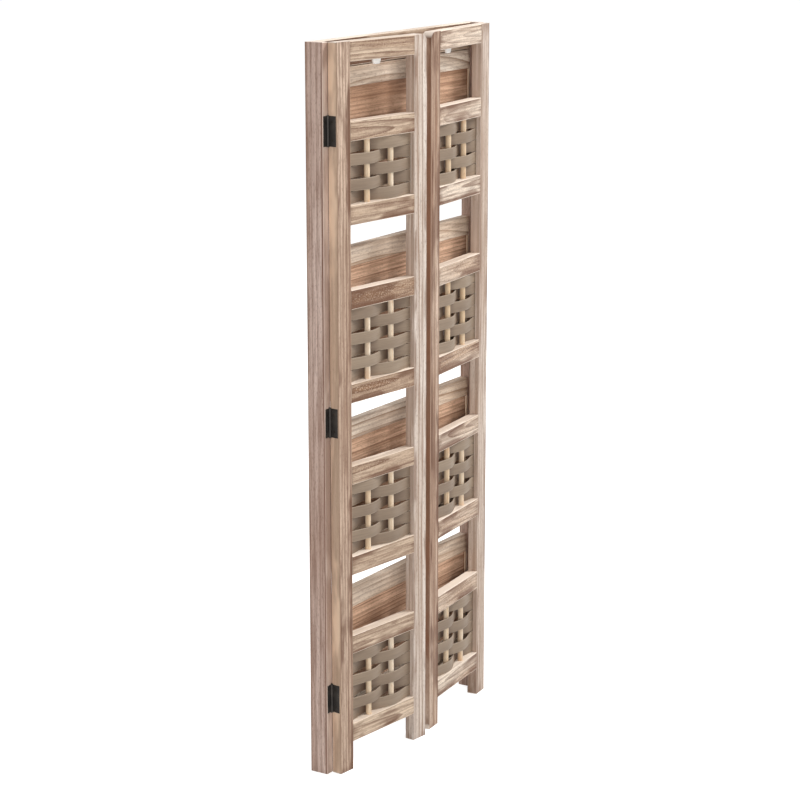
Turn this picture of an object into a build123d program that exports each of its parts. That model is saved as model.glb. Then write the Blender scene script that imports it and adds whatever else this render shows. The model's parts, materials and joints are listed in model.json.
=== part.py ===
"""Folding shelf screen: a back frame with four stowed drop shelves and two woven wings hinged to its posts.

Units are millimetres, +Z is up, the front is -Y and the origin is the middle of the footprint on the floor.
The wings stand slightly ajar, as in the photo. Each wing is laid out in a plane of its own whose origin is
the hinge axis on the floor, with X along the wing to its free edge, Y through its thickness and Z up.
"""

import os
from math import cos, radians, sin

from build123d import *

# Overall sizes
height = 1250.0
frame_width = 520.0
stock_thick = 17.0
stock_wide = 34.0
wing_thick = 19.0
ease = 1.2

# Wing layout
meeting_gap = 20.0
left_ajar = 7.0
right_ajar = 5.2
foot_height = 50.0
rail_height = 33.0
weave_height = 126.0
free_corner_radius = 14.0

# Joinery
tenon_length = 12.0
tenon_thick = 7.0
tenon_shoulder = 4.0
tenon_clear = 0.15

# Weave
dowel_radius = 5.0
dowel_spacing = 62.0
dowel_socket = 8.0
dowel_clear = 0.05
strip_thick = 1.5
strip_count = 6
strip_gap = 1.4
strip_clear = 0.3
strip_tail = 6.0
groove_clear = 0.1

# Wing hinges
hinge_height = 50.0
hinge_low = 135.0
hinge_high = 143.0
leaf_thick = 1.5
post_leaf_wide = 12.5
wing_leaf_wide = 17.0
leaf_recess = 0.6
leaf_tongue = 0.2
knuckle_radius = 2.4
knuckle_gap = 0.3
knuckle_relief = 0.6
pin_radius = 1.2
pin_clear = 0.05
pin_cap = 0.8
pin_cap_radius = 2.1
edge_gap = 1.0
post_lap = 2.4

# Screws
screw_head_radius = 2.5
screw_head_height = 1.0
screw_head_clear = 0.1
screw_shank_radius = 1.4
screw_shank_clear = 0.05
screw_length = 12.0
screw_spread = 15.0
screw_slot = 0.7
screw_slot_depth = 0.5

# Back frame and shelves
top_rail_height = 46.0
shelf_head_gap = 1.7
shelf_end_gap = 2.0
shelf_seat_gap = 0.3
shelf_rail_height = 33.0
board_thick = 10.0
board_lap = 6.0
board_set_back = 2.5
shelf_end_wide = 6.0
shelf_leaf_thick = 1.2
shelf_leaf_wide = 16.0
shelf_leaf_long = 50.0
shelf_leaf_root = 1.2
shelf_knuckle_radius = 2.2
shelf_knuckle_gap = 0.1
shelf_hinge_inset = 80.0

# Fittings inside the wings
bearer_deep = 12.0
bearer_tall = 14.0
bearer_end_gap = 13.0
bearer_lift = 2.0
pad_wide = 24.0
pad_tall = 24.0
pad_thick = 5.0
pad_drop = 11.0
pad_offset = 9.0

# Positions worked out from the sizes above
window_count = 4
rail_pitch = (height - foot_height) / window_count
strip_pitch = weave_height / strip_count
strip_height = strip_pitch - strip_gap
top_weave_height = weave_height - strip_pitch
lower_rail_base = [foot_height + rail_pitch * n for n in range(window_count)]
upper_rail_base = [z + rail_height + weave_height for z in lower_rail_base]
upper_rail_base[-1] = lower_rail_base[-1] + rail_height + top_weave_height
weave_size = [weave_height] * (window_count - 1) + [top_weave_height]
top_rail_base = height - rail_height
hinge_levels = [hinge_low, (hinge_low + height - hinge_high) / 2, height - hinge_high]
edge_u = edge_gap / 2
inner_x = frame_width / 2 - stock_thick
pin_x = inner_x + post_lap + edge_u
wing_width = pin_x - edge_u - meeting_gap / 2
rear_v = 0.0
front_v = rear_v - wing_thick
mid_v = (rear_v + front_v) / 2
inner_low_u = edge_u + stock_wide
free_u = edge_u + wing_width
inner_high_u = free_u - stock_wide
window_width = inner_high_u - inner_low_u
dowel_inset = (window_width - dowel_spacing) / 2
bearer_long = window_width - 2 * bearer_end_gap
swing = radians(left_ajar)
corner_loss = ease * (sin(swing) + cos(swing) - 1)
reach = edge_gap / 2 + free_u * sin(swing) - front_v * cos(swing) - corner_loss
front_y = (reach - stock_wide) / 2
pin_y = front_y - edge_gap / 2
shelf_front_y = front_y + stock_thick
shelf_rear_y = front_y + stock_wide
shelf_width = 2 * (inner_x - shelf_end_gap)
board_width = shelf_width - 2 * shelf_end_wide
shelf_rail_tops = [z + rail_height for z in lower_rail_base]
shelf_depth = height - top_rail_height - shelf_head_gap - shelf_rail_tops[-1] - shelf_seat_gap
strip_swing = dowel_radius + strip_clear + strip_thick / 2
tenon_height = rail_height - 2 * tenon_shoulder
shelf_axis_y = shelf_front_y - shelf_knuckle_radius - shelf_knuckle_gap
shelf_hinge_x = shelf_width / 2 - shelf_hinge_inset
leaf_wing_u = edge_u + leaf_recess + leaf_thick / 2
leaf_post_v = edge_gap / 2 + leaf_recess + leaf_thick / 2


def wing_plane(side, angle):
    """Plane of one wing: origin on its hinge axis at the floor, X along the wing, Z up."""
    turn = radians(angle)
    origin = (side * pin_x, pin_y, 0)
    return Plane(origin=origin, x_dir=(-side * cos(turn), -sin(turn), 0), z_dir=(0, 0, 1))


def post_plane(side):
    """Plane of the fixed hinge leaves at one post, laid out as for a wing that is shut."""
    return Plane(origin=(side * pin_x, pin_y, 0), x_dir=(-side, 0, 0), z_dir=(0, 0, 1))


left_plane = wing_plane(-1, left_ajar)
right_plane = wing_plane(1, right_ajar)
wings = [("left", left_plane, 1), ("right", right_plane, -1)]


def save(piece, name):
    """Label a finished sub-part and write its file."""
    piece.part.label = name
    export_step(piece.part, f"parts/{name}.step")


def together(pieces):
    """Several sub-parts as one, with their solids still apart."""
    with BuildPart() as whole:
        add([piece.part for piece in pieces])
    return whole


def along(plane):
    """Direction of the wing's length."""
    return Axis((0, 0, 0), tuple(plane.x_dir))


def one_rail(plane, back, base, socket):
    """One rail between the stiles with eased edges, stub tenons and dowel sockets in one edge."""
    middle_u = (inner_low_u + inner_high_u) / 2
    with BuildPart(plane) as bar:
        with Locations((middle_u, back * mid_v, base + rail_height / 2)):
            Box(window_width, wing_thick, rail_height)
        fillet(bar.edges().filter_by(along(plane)), radius=ease)
        with Locations((middle_u, back * mid_v, base + rail_height / 2)):
            Box(window_width + 2 * tenon_length, tenon_thick, tenon_height)
        if socket:
            edge = base if socket < 0 else base + rail_height
            for u in (inner_low_u + dowel_inset, inner_high_u - dowel_inset):
                with Locations((u, back * mid_v, edge - socket * dowel_socket / 2)):
                    Cylinder(dowel_radius + dowel_clear, dowel_socket, mode=Mode.SUBTRACT)
    return bar.part


def wing_rails(plane, back, levels, socket):
    """A set of rails; socket is -1 for dowels in the lower edge, 1 for the upper edge, 0 for none."""
    bars = [one_rail(plane, back, base, socket) for base in levels]
    with BuildPart() as piece:
        add(bars)
    return piece


def mortises(plane, back, u_edge, outward):
    """Tenon mortises and strip grooves in a stile's inner edge."""
    depth = tenon_length + tenon_clear
    for base in lower_rail_base + upper_rail_base + [top_rail_base]:
        with Locations((u_edge + outward * depth / 2, back * mid_v, base + rail_height / 2)):
            Box(depth, tenon_thick + 2 * tenon_clear, tenon_height + 2 * tenon_clear, mode=Mode.SUBTRACT)
    for base, tall in zip(lower_rail_base, weave_size):
        middle = base + rail_height + tall / 2
        with Locations((u_edge + outward * strip_tail / 2, back * mid_v, middle)):
            Box(strip_tail, strip_thick + 2 * groove_clear, tall, mode=Mode.SUBTRACT)


def hinge_relief():
    """Round clearance for the knuckles about a hinge axis."""
    for level in hinge_levels:
        with Locations((0, 0, level)):
            Cylinder(
                knuckle_radius + knuckle_relief,
                hinge_height + 2 * (pin_cap + knuckle_relief),
                mode=Mode.SUBTRACT,
            )


def one_leaf(plane, back, on_post, level):
    """One hinge leaf with its knuckles, screw holes and pin bore."""
    third = hinge_height / 3
    outer = third + knuckle_gap / 4
    own = [-outer, outer] if on_post else [0.0]
    own_length = third - knuckle_gap / 2 if on_post else third - knuckle_gap
    other = [0.0] if on_post else [-third, third]
    with BuildPart(plane) as leaf:
        if on_post:
            with Locations(((leaf_tongue - post_leaf_wide) / 2, back * leaf_post_v, level)):
                Box(post_leaf_wide + leaf_tongue, leaf_thick, hinge_height)
        else:
            with Locations((leaf_wing_u, back * (rear_v + (leaf_tongue - wing_leaf_wide) / 2), level)):
                Box(leaf_thick, wing_leaf_wide + leaf_tongue, hinge_height)
        for rise in other:
            with Locations((0, 0, level + rise)):
                Cylinder(knuckle_radius + knuckle_gap, third + knuckle_gap, mode=Mode.SUBTRACT)
        for rise in own:
            with Locations((0, 0, level + rise)):
                Cylinder(knuckle_radius, own_length)
        with Locations((0, 0, level)):
            Cylinder(pin_radius + pin_clear, hinge_height, mode=Mode.SUBTRACT)
        for spot in screw_planes(plane, back, on_post, level):
            with BuildSketch(spot):
                Circle(screw_head_radius + screw_head_clear)
            extrude(amount=-screw_head_height, mode=Mode.SUBTRACT)
            with BuildSketch(spot):
                Circle(screw_shank_radius + screw_shank_clear)
            extrude(amount=-leaf_thick, mode=Mode.SUBTRACT)
    return leaf.part


def hinge_leaves(plane, back, on_post):
    """Three hinge leaves on the post's front edge or on the wing's rear edge."""
    leaves = [one_leaf(plane, back, on_post, level) for level in hinge_levels]
    with BuildPart() as piece:
        add(leaves)
    return piece


def screw_planes(plane, back, on_post, level):
    """Planes on the outer face of a leaf at its two screws, with Z pointing out of the wood."""
    spots = []
    for rise in (-screw_spread, screw_spread):
        if on_post:
            local = (-post_leaf_wide / 2, back * (leaf_post_v - leaf_thick / 2), level + rise)
            out = tuple(-back * plane.y_dir)
        else:
            local = (leaf_wing_u - leaf_thick / 2, back * (rear_v - wing_leaf_wide / 2), level + rise)
            out = tuple(-plane.x_dir)
        spots.append(Plane(origin=plane.from_local_coords(local), x_dir=(0, 0, 1), z_dir=out))
    return spots


def wood_holes(plane, back, on_post):
    """Pilot holes in the wood behind the leaves."""
    for level in hinge_levels:
        for spot in screw_planes(plane, back, on_post, level):
            with BuildSketch(spot) as pilot:
                Circle(screw_shank_radius + screw_shank_clear)
            extrude(pilot.sketch, amount=-screw_length - leaf_thick, mode=Mode.SUBTRACT)


def hinge_screws(plane, back, on_post):
    """Slotted screws seated in a set of leaves."""
    with BuildPart() as piece:
        for level in hinge_levels:
            for spot in screw_planes(plane, back, on_post, level):
                with BuildSketch(spot):
                    Circle(screw_head_radius)
                extrude(amount=-screw_head_height)
                with BuildSketch(spot.offset(-screw_head_height)):
                    Circle(screw_shank_radius)
                extrude(amount=-screw_length)
                with BuildSketch(spot):
                    Rectangle(2 * screw_head_radius, screw_slot)
                extrude(amount=-screw_slot_depth, mode=Mode.SUBTRACT)
    return piece


def hinge_pins(plane):
    """Three capped pins on the hinge axis of one wing."""
    cap_level = hinge_height / 2 + pin_cap / 2
    with BuildPart(plane) as piece:
        for level in hinge_levels:
            with Locations((0, 0, level)):
                Cylinder(pin_radius, hinge_height)
            for rise in (-cap_level, cap_level):
                with Locations((0, 0, level + rise)):
                    Cylinder(pin_cap_radius, pin_cap)
    return piece


def strips(plane, back, base, tall, first):
    """Flat strips that pass in front of one dowel and behind the other, row about."""
    count = round(tall / strip_pitch)
    spread = tall / count
    low_u = inner_low_u
    high_u = inner_high_u
    with BuildPart(plane) as piece:
        for row in range(count):
            rise = first if row % 2 == 0 else -first
            floor = base + tall - (row + 0.5) * spread - strip_height / 2
            path = [
                (low_u, 0.0),
                (low_u + dowel_inset, rise * strip_swing),
                ((low_u + high_u) / 2, 0.0),
                (high_u - dowel_inset, -rise * strip_swing),
                (high_u, 0.0),
            ]
            near = [(u, back * mid_v + v - strip_thick / 2) for u, v in path]
            far = [(u, back * mid_v + v + strip_thick / 2) for u, v in path]
            with BuildSketch(plane.offset(floor)):
                with BuildLine():
                    Line((low_u - strip_tail, near[0][1]), near[0])
                    Spline(*near, tangents=[(1, 0), (1, 0)])
                    Line(near[-1], (high_u + strip_tail, near[-1][1]))
                    Line((high_u + strip_tail, near[-1][1]), (high_u + strip_tail, far[-1][1]))
                    Line((high_u + strip_tail, far[-1][1]), far[-1])
                    Spline(*far, tangents=[(1, 0), (1, 0)])
                    Line(far[0], (low_u - strip_tail, far[0][1]))
                    Line((low_u - strip_tail, far[0][1]), (low_u - strip_tail, near[0][1]))
                make_face()
            extrude(amount=strip_height)
    return piece


def back_rail(base, tall):
    """Rail between the posts at the back, with stub tenons."""
    middle_y = (shelf_front_y + shelf_rear_y) / 2
    with BuildPart() as piece:
        with Locations((0, middle_y, base + tall / 2)):
            Box(2 * inner_x, shelf_rear_y - shelf_front_y, tall)
        fillet(piece.edges().filter_by(Axis.X), radius=ease)
        with Locations((0, middle_y, base + tall / 2)):
            Box(2 * (inner_x + tenon_length), tenon_thick, tall - 2 * tenon_shoulder)
    return piece


def shelf_leaf(x, level, upward):
    """One surface leaf of a shelf hinge, above or below the hinge line."""
    third = shelf_leaf_long / 3
    sign = 1 if upward else -1
    outer = third + knuckle_gap / 4
    own = [0.0] if upward else [-outer, outer]
    own_length = third - knuckle_gap if upward else third - knuckle_gap / 2
    other = [-third, third] if upward else [0.0]
    line = Plane(origin=(x, shelf_axis_y, level), x_dir=(0, 1, 0), z_dir=(1, 0, 0))
    plate_y = shelf_front_y - shelf_leaf_thick / 2
    with BuildPart() as leaf:
        with Locations((x, plate_y, level + sign * (shelf_leaf_root + shelf_leaf_wide) / 2)):
            Box(shelf_leaf_long, shelf_leaf_thick, shelf_leaf_wide - shelf_leaf_root)
        for shift in other:
            with BuildSketch(line.offset(shift)):
                Circle(shelf_knuckle_radius + knuckle_gap)
            extrude(amount=(third + knuckle_gap) / 2, both=True, mode=Mode.SUBTRACT)
        for shift in own:
            with BuildSketch(line.offset(shift)):
                Circle(shelf_knuckle_radius)
            extrude(amount=own_length / 2, both=True)
        with BuildSketch(line):
            Circle(pin_radius + pin_clear)
        extrude(amount=shelf_leaf_long / 2, both=True, mode=Mode.SUBTRACT)
    return leaf.part


def shelf_leaves(levels, upward):
    """The two leaves on one side of the hinge line at each of these levels."""
    leaves = [shelf_leaf(x, level, upward) for level in levels for x in (-shelf_hinge_x, shelf_hinge_x)]
    with BuildPart() as piece:
        add(leaves)
    return piece


os.makedirs("parts", exist_ok=True)

# Posts of the back frame, set with their narrow edge to the front
for side, plane, back in wings:
    sign = -1 if side == "left" else 1
    with BuildPart() as post:
        with BuildSketch():
            with Locations((sign * (frame_width - stock_thick) / 2, front_y + stock_wide / 2)):
                RectangleRounded(stock_thick, stock_wide, ease)
        extrude(amount=height)
        depth = tenon_length + tenon_clear
        slot_x = sign * (inner_x + depth / 2)
        slot_y = (shelf_front_y + shelf_rear_y) / 2
        for top in shelf_rail_tops:
            with Locations((slot_x, slot_y, top - rail_height / 2)):
                Box(depth, tenon_thick + 2 * tenon_clear, tenon_height + 2 * tenon_clear, mode=Mode.SUBTRACT)
        with Locations((slot_x, slot_y, height - top_rail_height / 2)):
            Box(
                depth,
                tenon_thick + 2 * tenon_clear,
                top_rail_height - 2 * tenon_shoulder + 2 * tenon_clear,
                mode=Mode.SUBTRACT,
            )
        mortise = leaf_recess + leaf_thick
        edge_x = sign * (pin_x + post_leaf_wide / 2)
        for level in hinge_levels:
            with Locations((edge_x, front_y + mortise / 2, level)):
                Box(post_leaf_wide, mortise, hinge_height, mode=Mode.SUBTRACT)
            with Locations((sign * pin_x, pin_y, level)):
                Cylinder(
                    knuckle_radius + knuckle_relief,
                    hinge_height + 2 * (pin_cap + knuckle_relief),
                    mode=Mode.SUBTRACT,
                )
        wood_holes(post_plane(sign), back, True)
    save(post, f"{side}_post")

# Rails of the back frame
back_top_rail = back_rail(height - top_rail_height, top_rail_height)
save(back_top_rail, "back_top_rail")
for number, top in enumerate(reversed(shelf_rail_tops), start=1):
    save(back_rail(top - rail_height, rail_height), f"back_rail_{number}")

# Stowed shelves, numbered from the top
for number, top in enumerate(reversed(shelf_rail_tops), start=1):
    seat = top + shelf_seat_gap
    crown = seat + shelf_depth
    middle_y = (shelf_front_y + shelf_rear_y) / 2
    lap_y = shelf_front_y + board_set_back + board_thick / 2
    with BuildPart() as front_rail:
        with Locations((0, middle_y, crown - shelf_rail_height / 2)):
            Box(shelf_width, stock_thick, shelf_rail_height)
        fillet(front_rail.edges().filter_by(Axis.X), radius=ease)
        with Locations((0, lap_y, crown - shelf_rail_height + board_lap / 2)):
            Box(board_width, board_thick, board_lap, mode=Mode.SUBTRACT)
    save(front_rail, f"shelf_{number}_front_rail")
    with BuildPart() as hinge_rail:
        with Locations((0, middle_y, seat + shelf_rail_height / 2)):
            Box(shelf_width, stock_thick, shelf_rail_height)
        fillet(hinge_rail.edges().filter_by(Axis.X), radius=ease)
        with Locations((0, lap_y, seat + shelf_rail_height - board_lap / 2)):
            Box(board_width, board_thick, board_lap, mode=Mode.SUBTRACT)
    save(hinge_rail, f"shelf_{number}_back_rail")
    board_low = seat + shelf_rail_height - board_lap
    board_high = crown - shelf_rail_height + board_lap
    with BuildPart() as shelf_board:
        with Locations((0, lap_y, (board_low + board_high) / 2)):
            Box(board_width, board_thick, board_high - board_low)
    save(shelf_board, f"shelf_{number}_board")
    with BuildPart() as end_rails:
        for sign in (-1, 1):
            with Locations((sign * (shelf_width - shelf_end_wide) / 2, middle_y, (seat + crown) / 2)):
                Box(shelf_end_wide, stock_thick, shelf_depth - 2 * shelf_rail_height)
        fillet(end_rails.edges().filter_by(Axis.Z), radius=ease)
    save(end_rails, f"shelf_{number}_end_rails")
    save(shelf_leaves([top + shelf_seat_gap / 2], True), f"shelf_{number}_leaves")

# Lower leaves and pins of the shelf hinges
save(shelf_leaves([top + shelf_seat_gap / 2 for top in shelf_rail_tops], False), "shelf_hinge_leaves")
with BuildPart() as shelf_hinge_pins:
    for top in shelf_rail_tops:
        for x in (-shelf_hinge_x, shelf_hinge_x):
            line = Plane(
                origin=(x, shelf_axis_y, top + shelf_seat_gap / 2), x_dir=(0, 1, 0), z_dir=(1, 0, 0)
            )
            with BuildSketch(line):
                Circle(pin_radius)
            extrude(amount=shelf_leaf_long / 2, both=True)
            cap_start = shelf_leaf_long / 2
            for end in (-1, 1):
                with BuildSketch(line.offset(end * cap_start)):
                    Circle(pin_cap_radius)
                extrude(amount=end * pin_cap)
save(shelf_hinge_pins, "shelf_hinge_pins")

# Wings
for side, plane, back in wings:
    u_dir = along(plane)
    v_dir = Axis((0, 0, 0), tuple(plane.y_dir))

    with BuildPart(plane) as hinge_stile:
        with Locations(((edge_u + inner_low_u) / 2, back * mid_v, height / 2)):
            Box(stock_wide, wing_thick, height)
        fillet(hinge_stile.edges().filter_by(Axis.Z), radius=ease)
        mortises(plane, back, inner_low_u, -1)
        mortise = leaf_recess + leaf_thick
        for level in hinge_levels:
            with Locations((edge_u + mortise / 2, back * (rear_v - wing_leaf_wide / 2), level)):
                Box(mortise, wing_leaf_wide, hinge_height, mode=Mode.SUBTRACT)
        hinge_relief()
        wood_holes(plane, back, False)
    save(hinge_stile, f"{side}_hinge_stile")

    face = Plane(
        origin=plane.from_local_coords(((inner_high_u + free_u) / 2, back * mid_v, height / 2)),
        x_dir=tuple(plane.x_dir),
        z_dir=tuple(-plane.y_dir),
    )
    with BuildPart(plane) as free_stile:
        with BuildSketch(face) as outline:
            Rectangle(stock_wide, height)
            corner = outline.vertices().group_by(Axis.Y)[-1].sort_by(Axis.X)[-1]
            fillet(corner, radius=free_corner_radius)
        extrude(amount=wing_thick / 2, both=True)
        faces_by_depth = free_stile.faces().sort_by(v_dir)
        fillet(faces_by_depth[0].edges() + faces_by_depth[-1].edges(), radius=ease)
        mortises(plane, back, inner_high_u, 1)
    save(free_stile, f"{side}_free_stile")

    save(wing_rails(plane, back, [top_rail_base], 0), f"{side}_top_rail")
    save(wing_rails(plane, back, upper_rail_base, -1), f"{side}_upper_rails")
    save(wing_rails(plane, back, lower_rail_base, 1), f"{side}_lower_rails")

    with BuildPart(plane) as dowels:
        for base, tall in zip(lower_rail_base, weave_size):
            for u in (inner_low_u + dowel_inset, inner_high_u - dowel_inset):
                with Locations((u, back * mid_v, base + rail_height + tall / 2)):
                    Cylinder(dowel_radius, tall + 2 * dowel_socket)
    save(dowels, f"{side}_dowels")

    for number in range(1, window_count + 1):
        level = window_count - number
        first = 1 if number == 1 else -1
        woven = strips(plane, back, lower_rail_base[level] + rail_height, weave_size[level], first)
        save(woven, f"{side}_weave_{number}")

    with BuildPart(plane) as bearers:
        for base in lower_rail_base:
            top = base + rail_height + bearer_lift
            with Locations(
                (
                    (inner_low_u + inner_high_u) / 2,
                    back * (rear_v + bearer_deep / 2),
                    top - bearer_tall / 2,
                )
            ):
                Box(bearer_long, bearer_deep, bearer_tall)
        fillet(bearers.edges().filter_by(u_dir), radius=ease)
    save(bearers, f"{side}_bearers")

    with BuildPart(plane) as pad:
        pad_u = (inner_low_u + inner_high_u) / 2 + pad_offset
        pad_z = top_rail_base - pad_drop + pad_tall / 2
        with Locations((pad_u, back * (rear_v + pad_thick / 2), pad_z)):
            Box(pad_wide, pad_thick, pad_tall)
        fillet(pad.edges().filter_by(v_dir), radius=ease)
    save(pad, f"{side}_pad")

    save(hinge_leaves(plane, back, False), f"{side}_wing_leaves")
    save(hinge_screws(plane, back, False), f"{side}_wing_screws")

# Fixed leaves, screws and pins of the wing hinges, on both posts
posts = [(post_plane(-1), 1), (post_plane(1), -1)]
save(together([hinge_leaves(plane, back, True) for plane, back in posts]), "post_leaves")
save(together([hinge_screws(plane, back, True) for plane, back in posts]), "post_screws")
save(together([hinge_pins(plane) for plane, back in posts]), "wing_hinge_pins")
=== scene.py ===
"""Looks of a folding shelf screen: torched pale boards, woven strips on dowels and dark butt hinges.

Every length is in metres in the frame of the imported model: +Z is up and the front is -Y. Posts, stiles,
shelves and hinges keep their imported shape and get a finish. Rails, strips, dowels and pads are worked out
here.
"""

import json
import logging
import math
from dataclasses import dataclass, field, replace
from enum import Enum
from typing import Sequence, Union

import bpy
import numpy as np
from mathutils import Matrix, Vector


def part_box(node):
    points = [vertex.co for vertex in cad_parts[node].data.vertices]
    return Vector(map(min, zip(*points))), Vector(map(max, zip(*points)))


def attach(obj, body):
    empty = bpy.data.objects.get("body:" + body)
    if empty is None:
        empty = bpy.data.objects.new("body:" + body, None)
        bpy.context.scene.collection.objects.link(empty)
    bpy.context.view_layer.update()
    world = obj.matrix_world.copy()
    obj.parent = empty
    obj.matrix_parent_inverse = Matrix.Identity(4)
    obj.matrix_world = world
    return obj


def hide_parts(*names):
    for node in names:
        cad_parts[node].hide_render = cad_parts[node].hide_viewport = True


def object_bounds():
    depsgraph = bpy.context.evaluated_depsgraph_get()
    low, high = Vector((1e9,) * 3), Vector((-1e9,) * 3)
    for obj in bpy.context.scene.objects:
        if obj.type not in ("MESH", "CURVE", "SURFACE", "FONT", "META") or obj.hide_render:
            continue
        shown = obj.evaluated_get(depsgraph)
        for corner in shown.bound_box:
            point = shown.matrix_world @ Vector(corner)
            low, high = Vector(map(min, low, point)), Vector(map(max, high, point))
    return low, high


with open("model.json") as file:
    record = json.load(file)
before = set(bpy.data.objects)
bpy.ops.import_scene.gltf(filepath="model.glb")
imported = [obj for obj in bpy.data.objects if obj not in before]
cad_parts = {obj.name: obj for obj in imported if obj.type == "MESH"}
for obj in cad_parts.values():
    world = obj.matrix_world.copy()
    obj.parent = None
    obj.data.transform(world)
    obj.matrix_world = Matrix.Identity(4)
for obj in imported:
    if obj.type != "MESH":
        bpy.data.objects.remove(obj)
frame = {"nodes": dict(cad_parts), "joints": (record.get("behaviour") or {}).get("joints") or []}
cad_low, cad_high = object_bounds()

LOG = logging.getLogger("shelf_screen")
SEED = 20
SEED_REACH = 40.0
LEVELS = 4
QUARTER_TURN = math.pi / 2.0
FULL_TURN = 2.0 * math.pi
X_AXIS = (1.0, 0.0, 0.0)
Y_AXIS = (0.0, 1.0, 0.0)
Z_AXIS = (0.0, 0.0, 1.0)
WHITE = (1.0, 1.0, 1.0, 1.0)

Colour = tuple[float, float, float, float]
Triple = tuple[float, float, float]
Pair = tuple[float, float]
Input = Union["Flow", float, Sequence[float]]


def srgb(red: int, green: int, blue: int) -> Colour:
    """Turn a colour as seen on screen into the linear values that a shader takes, by the sRGB curve.

    Args:
        red: red from 0 to 255.
        green: green from 0 to 255.
        blue: blue from 0 to 255.

    Returns:
        Linear red, green, blue and an alpha of 1.
    """
    parts = np.array([red, green, blue]) / 255.0
    linear = np.where(parts <= 0.04045, parts / 12.92, ((parts + 0.055) / 1.055) ** 2.4)
    return (float(linear[0]), float(linear[1]), float(linear[2]), 1.0)


class Side(Enum):
    """Which wing, with the sign of its hinge on the X axis."""

    LEFT = -1
    RIGHT = 1

    @property
    def label(self) -> str:
        """Word that the wing's nodes begin with."""
        return self.name.lower()


class Cut(Enum):
    """How a board was sawn.

    The three numbers are the distance from the board's middle to the pith, across the board, the rise of the
    pith through the board for each metre along it, and how far the rings wander from true circles.
    """

    STRAIGHT = (0.190, 0.012, 0.0045)
    SWEPT = (0.016, 0.022, 0.0100)
    ARCHED = (0.006, 0.075, 0.0060)
    SWEEPING = (0.030, 0.130, 0.0060)
    STREAKED = (0.120, 0.030, 0.0060)


@dataclass(frozen=True)
class Waves:
    """Soft noise: its waves in a metre along each axis, and its octaves."""

    stretch: Triple
    detail: float


class NodeSheet:
    """A hand for laying nodes into one shader tree."""

    def __init__(self, tree: bpy.types.NodeTree) -> None:
        """Keep the tree that the nodes go into."""
        self.tree = tree

    def feed(self, socket: bpy.types.NodeSocket, value: Input) -> None:
        """Link a socket to a flow, or write a constant on it.

        Args:
            socket: input of a node.
            value: what it takes.
        """
        if isinstance(value, Flow):
            self.tree.links.new(value.socket, socket)
        else:
            socket.default_value = value

    def node(self, kind: str, *values: Input, **settings: object) -> bpy.types.Node:
        """Add a node.

        Args:
            kind: type name of the node.
            values: what its inputs take, in order.
            settings: properties to set on it.

        Returns:
            The new node.
        """
        made = self.tree.nodes.new(kind)
        for key, value in settings.items():
            setattr(made, key, value)
        for socket, value in zip(made.inputs, values):
            self.feed(socket, value)
        return made

    def join(self, *values: Input) -> "Flow":
        """Put three numbers together as a vector."""
        return Flow(self, self.node("ShaderNodeCombineXYZ", *values).outputs[0])

    def mix(self, share: Input, first: Input, second: Input) -> "Flow":
        """Mix two colours, which are the seventh and eighth inputs of the node.

        Args:
            share: share of the second colour.
            first: colour at a share of 0.
            second: colour at a share of 1.

        Returns:
            The mixed colour.
        """
        made = self.node("ShaderNodeMix", share, data_type="RGBA")
        for socket, value in zip(made.inputs[6:8], (first, second)):
            self.feed(socket, value)
        return Flow(self, made.outputs[2])

    def group(self, tree: bpy.types.NodeTree, **values: Input) -> dict[str, "Flow"]:
        """Place a node group.

        Args:
            tree: the group.
            values: what its inputs take, by name.

        Returns:
            What it gives out, by name.
        """
        made = self.node("ShaderNodeGroup", node_tree=tree)
        for key, value in values.items():
            self.feed(made.inputs[key], value)
        return {socket.name: Flow(self, socket) for socket in made.outputs}


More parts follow.
